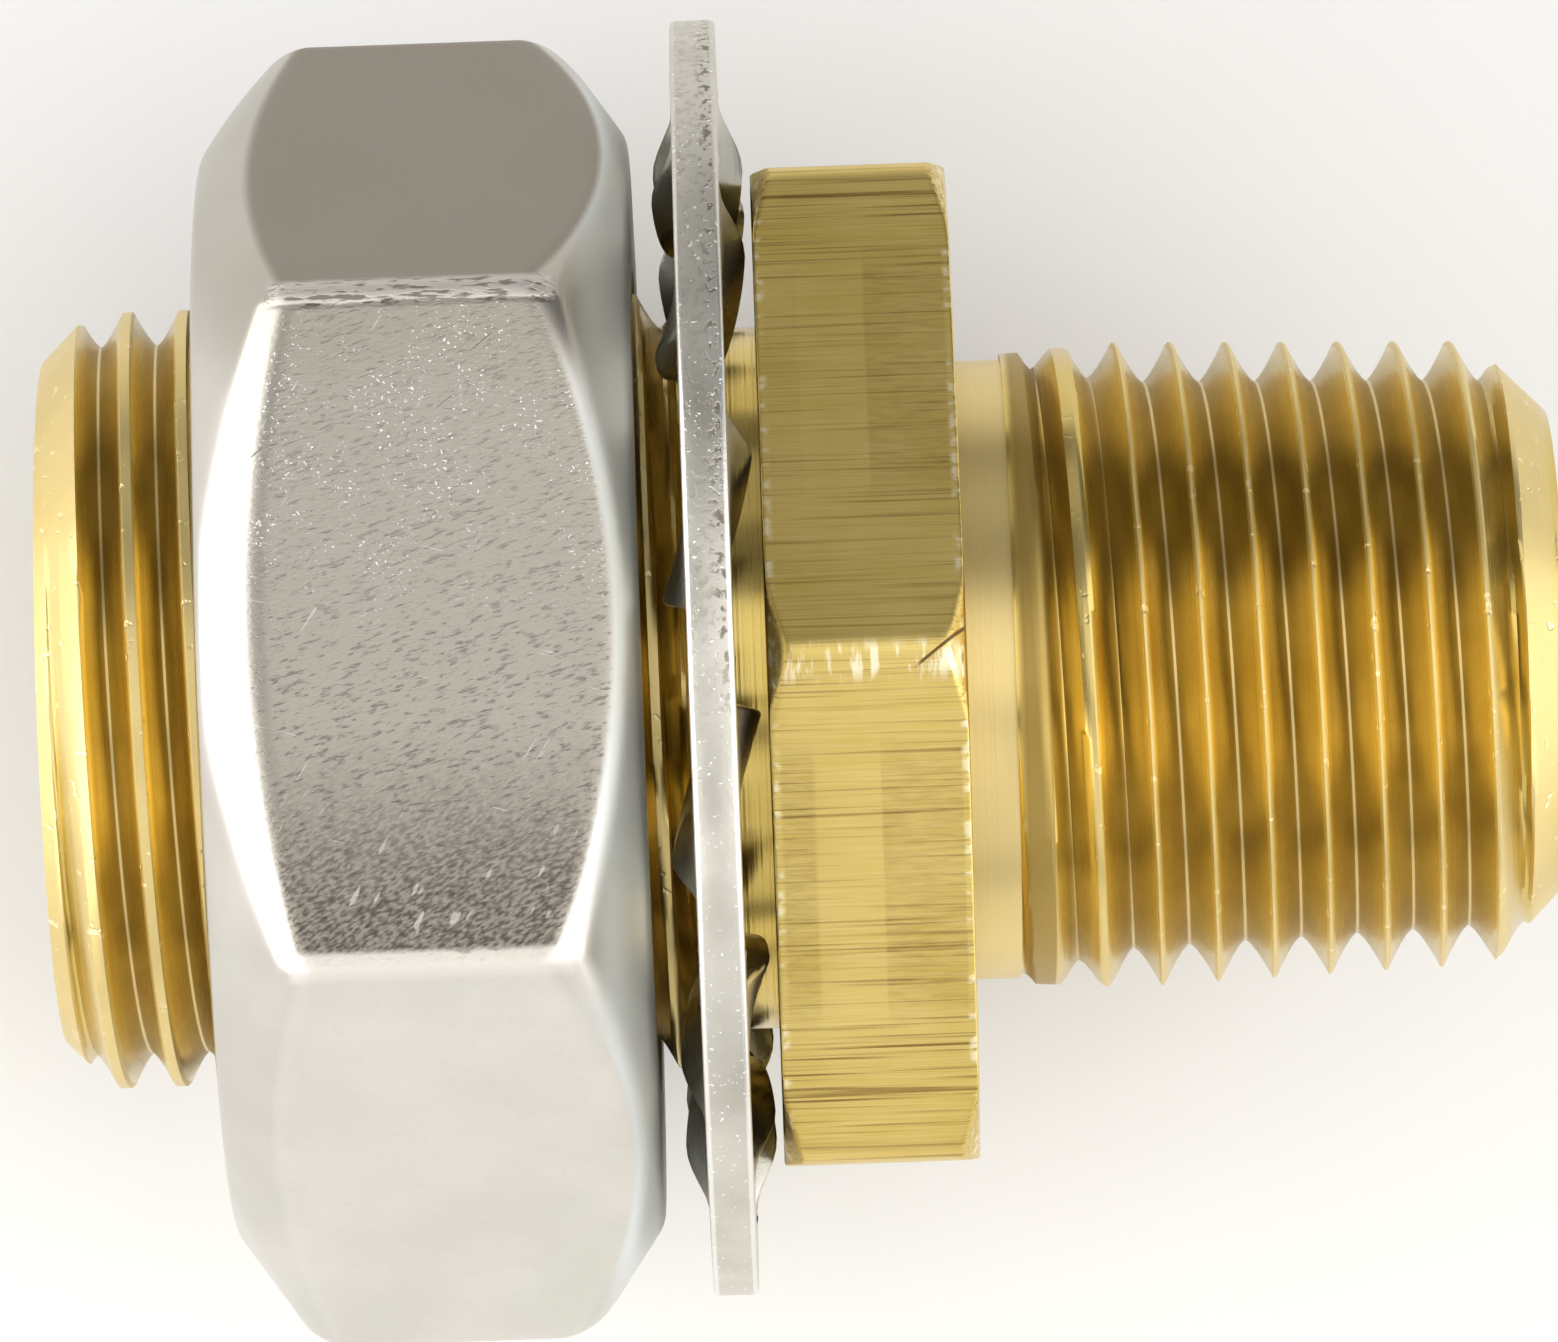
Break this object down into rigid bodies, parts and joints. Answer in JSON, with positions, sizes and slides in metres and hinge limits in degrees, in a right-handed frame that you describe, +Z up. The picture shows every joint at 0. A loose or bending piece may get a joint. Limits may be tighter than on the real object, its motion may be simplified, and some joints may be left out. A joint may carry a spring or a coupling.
{
  "type": "tank connector",
  "caption": "Brass hexagon body with a parallel bulkhead thread and a tapered pipe thread, clamped through a tank wall by a steel lock nut over a toothed lock washer.",
  "frame": {"origin": "on the flow axis, at the hexagon's seat face that bears towards the tank wall", "axes": "+X along the flow axis towards the tapered pipe thread, +Z up out of one flat of the lock nut, with the part lying on its side"},
  "size_m": [0.0486, 0.0426, 0.0414],
  "materials": {
    "brass": "turned from drawn bar, with draw lines on the flats and nicked thread crests",
    "nut_zinc_plate": "zinc plate, satin, pitted and scratched",
    "washer_zinc_plate": "zinc plate, satin, with a speckled rim and rounded edges"
  },
  "bodies": {
    "fitting": {"fitting_body": "brass"},
    "washer": {"lock_washer": "washer_zinc_plate"},
    "nut": {"lock_nut": "nut_zinc_plate"}
  },
  "joints": [
    {"name": "washer_slide", "type": "slide", "parent": "fitting", "child": "washer", "axis": [-1, 0, 0], "range_m": [-0.00015, 0.01452]},
    {"name": "nut_turn", "type": "hinge", "parent": "washer", "child": "nut", "pos_m": [-0.011, 0, 0], "axis": [-1, 0, 0], "range_deg": [-30, 2880]}
  ],
  "couplings": [
    {"joint": "washer_slide", "follows": "nut_turn", "m_per_rad": 0.00028876}
  ]
}
